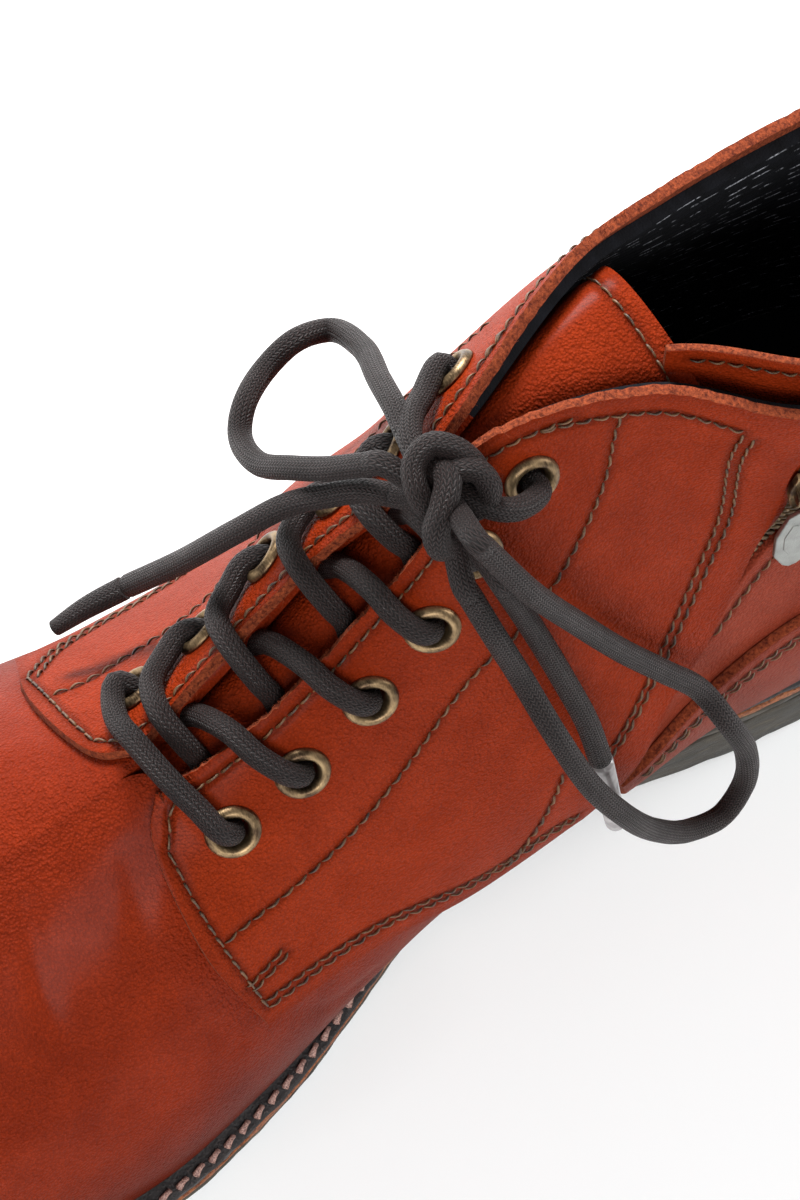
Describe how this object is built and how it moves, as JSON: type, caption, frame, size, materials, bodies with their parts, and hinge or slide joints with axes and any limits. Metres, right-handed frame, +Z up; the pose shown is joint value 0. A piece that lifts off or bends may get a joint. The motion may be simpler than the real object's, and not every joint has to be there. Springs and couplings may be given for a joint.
{
  "type": "lace up ankle boot",
  "caption": "Leather ankle boot for the right foot with laced throat, stacked rubber sole and low heel, and a zip on the inner side.",
  "frame": {"origin": "on the floor at the middle of the forefoot flat of the sole", "axes": "+Z up, toe towards -Y, inner side of the foot towards +X"},
  "size_m": [0.0986, 0.2967, 0.1464],
  "materials": {
    "leather": "burnished red-brown full grain leather",
    "lining": "near-black woven lining",
    "rubber": "matte dark olive grey rubber",
    "cork": "orange-brown edge of a thin midsole",
    "welt": "black welt with heavy stitches",
    "lace": "dark brown-grey braided waxed cotton",
    "brass": "antique brass",
    "steel": "silver-grey die-cast metal",
    "aglet": "greyish translucent plastic"
  },
  "bodies": {
    "boot": {"upper": "leather", "heel": "rubber", "outsole": "rubber", "midsole": "cork", "welt": "welt", "insole": "lining", "quarter_medial": "leather", "quarter_lateral": "leather", "counter": "leather", "tongue": "leather", "zip_tape": "lining", "zip_teeth": "brass", "zip_slider": "brass", "zip_guard": "leather", "eyelet_medial_1": "brass", "eyelet_medial_2": "brass", "eyelet_medial_3": "brass", "eyelet_medial_4": "brass", "eyelet_medial_5": "brass", "eyelet_medial_6": "brass", "eyelet_lateral_1": "brass", "eyelet_lateral_2": "brass", "eyelet_lateral_3": "brass", "eyelet_lateral_4": "brass", "eyelet_lateral_5": "brass", "eyelet_lateral_6": "brass", "lace_bar": "lace", "lace_cross_2": "lace", "lace_cross_3": "lace", "lace_cross_4": "lace", "lace_cross_5": "lace", "lace_knot": "lace", "lace_loop_medial": "lace", "lace_loop_lateral": "lace", "lace_end_medial": "lace", "lace_end_lateral": "lace", "lace_tip_medial": "aglet", "lace_tip_lateral": "lace"},
    "zip_pull": {"zip_pull": "steel"}
  },
  "joints": [
    {"name": "zip_pull_swing", "type": "hinge", "parent": "boot", "child": "zip_pull", "pos_m": [0.02651, 0.11776, 0.11354], "axis": [-0.336, -0.9415, -0.0269], "range_deg": [0, 150]}
  ]
}
